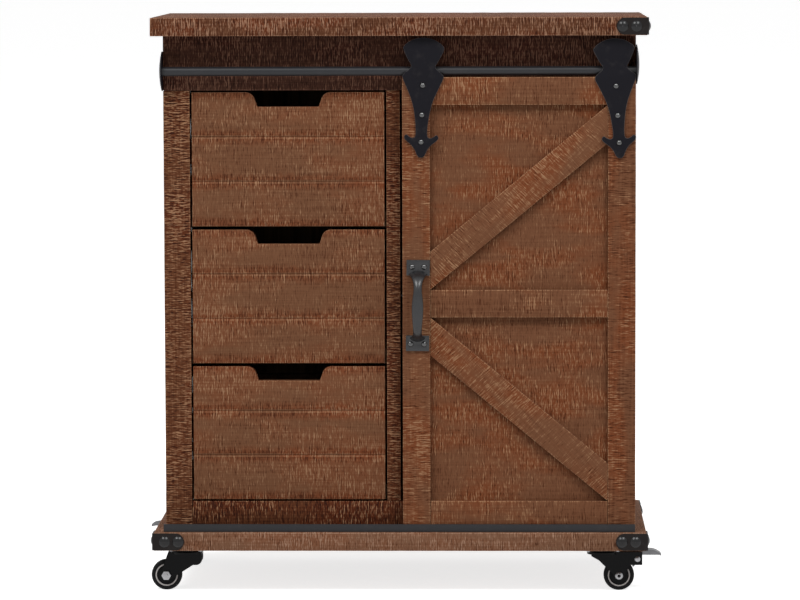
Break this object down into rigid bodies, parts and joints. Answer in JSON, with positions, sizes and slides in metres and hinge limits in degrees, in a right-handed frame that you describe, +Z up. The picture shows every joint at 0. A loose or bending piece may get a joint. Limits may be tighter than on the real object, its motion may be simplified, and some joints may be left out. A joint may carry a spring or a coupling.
{
  "type": "rolling storage cabinet",
  "caption": "Wooden storage cabinet on swivel casters, with stacked drawers on the left and a cupboard behind a barn door that slides on a round rod.",
  "frame": {"origin": "on the floor, under the middle of the top and base boards", "axes": "+X to the right as seen from the front, +Y to the back, +Z up"},
  "size_m": [0.6884, 0.3527, 0.748],
  "materials": {
    "boards": "rough-sawn, stained brown",
    "face_frame": "rough-sawn, stained dark red-brown",
    "side_panels": "rough-sawn, stained brown",
    "inner_wood": "plain",
    "door_wood": "rough-sawn, stained mid-brown",
    "drawer_wood": "rough-sawn, stained mid-brown",
    "black_iron": "satin black",
    "black_steel": "gloss black",
    "zinc": "zinc-plated",
    "grey_steel": "satin grey",
    "tyre": "black, with a light-grey ring on each side"
  },
  "bodies": {
    "cabinet": {"top_board": "boards", "base_board": "boards", "side_panel_left": "side_panels", "side_panel_right": "side_panels", "partition": "inner_wood", "back_panel": "inner_wood", "floor_panel": "inner_wood", "shelf": "inner_wood", "shelf_pins": "zinc", "top_rail": "face_frame", "stile_left": "face_frame", "stile_centre": "face_frame", "stile_right": "face_frame", "bottom_rail": "face_frame", "drawer_runners": "inner_wood", "rail_rod": "black_iron", "rail_bracket_left": "black_iron", "rail_bracket_right": "black_iron", "door_guide": "black_iron", "corner_guards": "black_iron", "corner_guard_nails": "black_iron", "caster_plates": "black_steel", "base_screws": "zinc"},
    "door": {"door_panel": "door_wood", "door_stile_left": "door_wood", "door_stile_right": "door_wood", "door_rail_top": "door_wood", "door_rail_middle": "door_wood", "door_rail_bottom": "door_wood", "door_brace_upper": "door_wood", "door_brace_lower": "door_wood", "door_handle": "black_iron", "hanger_left": "black_iron", "hanger_right": "black_iron", "door_screws": "black_iron", "hanger_axles": "zinc"},
    "roller_left": {"roller_left": "black_iron"},
    "roller_right": {"roller_right": "black_iron"},
    "drawer_bottom": {"drawer_bottom_front": "drawer_wood", "drawer_bottom_box": "inner_wood"},
    "drawer_middle": {"drawer_middle_front": "drawer_wood", "drawer_middle_box": "inner_wood"},
    "drawer_top": {"drawer_top_front": "drawer_wood", "drawer_top_box": "inner_wood"},
    "caster_front_left": {"fork_front_left": "black_steel", "bolts_front_left": "zinc"},
    "wheel_front_left": {"wheel_front_left": "tyre"},
    "caster_front_right": {"fork_front_right": "black_steel", "bolts_front_right": "zinc"},
    "wheel_front_right": {"wheel_front_right": "tyre"},
    "brake_front_right": {"brake_lever_front_right": "grey_steel"},
    "caster_rear_left": {"fork_rear_left": "black_steel", "bolts_rear_left": "zinc"},
    "wheel_rear_left": {"wheel_rear_left": "tyre"},
    "brake_rear_left": {"brake_lever_rear_left": "grey_steel"},
    "caster_rear_right": {"fork_rear_right": "black_steel", "bolts_rear_right": "zinc"},
    "wheel_rear_right": {"wheel_rear_right": "tyre"}
  },
  "joints": [
    {"name": "door_slide", "type": "slide", "parent": "cabinet", "child": "door", "axis": [1, 0, 0], "range_m": [-0.29, 0]},
    {"name": "roller_left_turn", "type": "hinge", "parent": "door", "child": "roller_left", "pos_m": [0.0322, -0.1475, 0.6985], "axis": [0, 1, 0], "range_deg": [-1200, 10]},
    {"name": "roller_right_turn", "type": "hinge", "parent": "door", "child": "roller_right", "pos_m": [0.2773, -0.1475, 0.6985], "axis": [0, 1, 0], "range_deg": [-1200, 10]},
    {"name": "drawer_bottom_slide", "type": "slide", "parent": "cabinet", "child": "drawer_bottom", "axis": [0, -1, 0], "range_m": [0, 0.2]},
    {"name": "drawer_middle_slide", "type": "slide", "parent": "cabinet", "child": "drawer_middle", "axis": [0, -1, 0], "range_m": [0, 0.2]},
    {"name": "drawer_top_slide", "type": "slide", "parent": "cabinet", "child": "drawer_top", "axis": [0, -1, 0], "range_m": [0, 0.2]},
    {"name": "caster_front_left_swivel", "type": "hinge", "parent": "cabinet", "child": "caster_front_left", "pos_m": [-0.28, -0.1205, 0.05], "axis": [0, 0, 1], "continuous": true},
    {"name": "wheel_front_left_roll", "type": "hinge", "parent": "caster_front_left", "child": "wheel_front_left", "pos_m": [-0.306, -0.1205, 0.02], "axis": [0, -1, 0], "continuous": true},
    {"name": "caster_front_right_swivel", "type": "hinge", "parent": "cabinet", "child": "caster_front_right", "pos_m": [0.264, -0.1205, 0.05], "axis": [0, 0, 1], "continuous": true},
    {"name": "wheel_front_right_roll", "type": "hinge", "parent": "caster_front_right", "child": "wheel_front_right", "pos_m": [0.285, -0.1205, 0.02], "axis": [0, 1, 0], "continuous": true},
    {"name": "brake_front_right_press", "type": "hinge", "parent": "caster_front_right", "child": "brake_front_right", "pos_m": [0.3091, -0.1205, 0.0417], "axis": [0, 1, 0], "range_deg": [0, 12]},
    {"name": "caster_rear_left_swivel", "type": "hinge", "parent": "cabinet", "child": "caster_rear_left", "pos_m": [-0.281, 0.1205, 0.05], "axis": [0, 0, 1], "continuous": true},
    {"name": "wheel_rear_left_roll", "type": "hinge", "parent": "caster_rear_left", "child": "wheel_rear_left", "pos_m": [-0.2982, 0.13254, 0.02], "axis": [-0.5736, -0.8192, 0], "continuous": true},
    {"name": "brake_rear_left_press", "type": "hinge", "parent": "caster_rear_left", "child": "brake_rear_left", "pos_m": [-0.31794, 0.14637, 0.0417], "axis": [-0.5736, -0.8192, 0], "range_deg": [0, 12]},
    {"name": "caster_rear_right_swivel", "type": "hinge", "parent": "cabinet", "child": "caster_rear_right", "pos_m": [0.28, 0.1205, 0.05], "axis": [0, 0, 1], "continuous": true},
    {"name": "wheel_rear_right_roll", "type": "hinge", "parent": "caster_rear_right", "child": "wheel_rear_right", "pos_m": [0.29671, 0.14042, 0.02], "axis": [-0.766, 0.6428, 0], "continuous": true}
  ],
  "couplings": [
    {"joint": "roller_left_turn", "follows": "door_slide", "rad_per_m": 71.2},
    {"joint": "roller_right_turn", "follows": "door_slide", "rad_per_m": 71.2}
  ]
}
